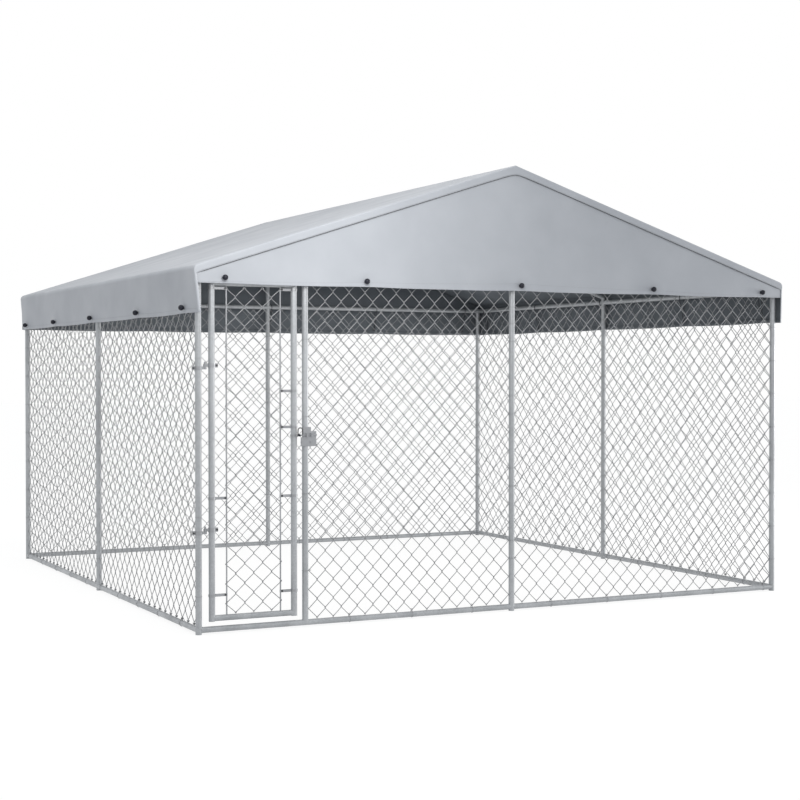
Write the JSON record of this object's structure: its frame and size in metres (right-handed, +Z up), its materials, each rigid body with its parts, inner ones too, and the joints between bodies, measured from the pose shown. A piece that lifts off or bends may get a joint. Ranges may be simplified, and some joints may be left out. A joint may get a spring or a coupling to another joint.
{
  "type": "outdoor dog kennel run",
  "caption": "Walk-in outdoor dog run: square tube frame with chain-link sides, hinged gate with sliding bolt, and a gable cloth canopy tied to the top rails.",
  "frame": {"origin": "on the ground under the middle of the run", "axes": "+Z up, -Y the gate side, +X to the right as seen from the gate side"},
  "size_m": [3.9498, 3.9778, 2.5764],
  "materials": {
    "galvanised_tube": "hot-dip galvanised, dull grey with faint spangle",
    "galvanised_wire": "galvanised wire, dull grey",
    "zinc_hardware": "zinc plated, satin",
    "dark_hardware": "dark zinc, satin",
    "canopy_cloth": "coated woven sheet, silver-grey outside and charcoal inside, soft sheen",
    "black_plastic": "black moulded plastic",
    "elastic_cord": "black elastic cord",
    "eyelet_metal": "plain aluminium, satin"
  },
  "bodies": {
    "frame": {"corner_post_front_left": "galvanised_tube", "corner_post_front_right": "galvanised_tube", "corner_post_back_left": "galvanised_tube", "corner_post_back_right": "galvanised_tube", "center_post_front": "galvanised_tube", "center_post_back": "galvanised_tube", "center_post_left": "galvanised_tube", "center_post_right": "galvanised_tube", "gate_post": "galvanised_tube", "bottom_rails_front": "galvanised_tube", "bottom_rails_back": "galvanised_tube", "bottom_rails_left": "galvanised_tube", "bottom_rails_right": "galvanised_tube", "top_rails_front": "galvanised_tube", "top_rails_back": "galvanised_tube", "top_rails_left": "galvanised_tube", "top_rails_right": "galvanised_tube", "mesh_front_left": "galvanised_wire", "mesh_front_right": "galvanised_wire", "mesh_back_left": "galvanised_wire", "mesh_back_right": "galvanised_wire", "mesh_left_front": "galvanised_wire", "mesh_left_back": "galvanised_wire", "mesh_right_front": "galvanised_wire", "mesh_right_back": "galvanised_wire", "ridge_pole": "galvanised_tube", "rafter_left": "galvanised_tube", "rafter_right": "galvanised_tube", "rafter_seats": "zinc_hardware", "ridge_tees": "zinc_hardware", "canopy_roof": "canopy_cloth", "canopy_gable_front": "canopy_cloth", "canopy_gable_back": "canopy_cloth", "canopy_eyelets": "eyelet_metal", "canopy_balls": "black_plastic", "elastic_loops": "elastic_cord", "post_hinges": "zinc_hardware", "post_hinge_bolts": "dark_hardware", "latch_plate": "zinc_hardware", "latch_clamp": "zinc_hardware", "latch_clamp_bolts": "zinc_hardware"},
    "gate": {"gate_hinge_stile": "galvanised_tube", "gate_latch_stile": "galvanised_tube", "gate_top_rail": "galvanised_tube", "gate_bottom_rail": "galvanised_tube", "gate_mesh": "galvanised_wire", "gate_hinge_bar": "zinc_hardware", "gate_latch_bar": "zinc_hardware", "gate_tension_bands": "zinc_hardware", "gate_band_bolts": "dark_hardware", "gate_hinges": "zinc_hardware", "gate_hinge_bolts": "dark_hardware", "latch_keeper": "zinc_hardware"},
    "bolt": {"latch_bolt": "zinc_hardware", "latch_handle": "dark_hardware", "latch_knob": "black_plastic"}
  },
  "joints": [
    {"name": "gate_swing", "type": "hinge", "parent": "frame", "child": "gate", "pos_m": [-1.873, -1.91, 0.545], "axis": [0, 0, 1], "range_deg": [0, 90]},
    {"name": "bolt_slide", "type": "slide", "parent": "frame", "child": "bolt", "axis": [-1, 0, 0], "range_m": [0, 0.022]}
  ]
}
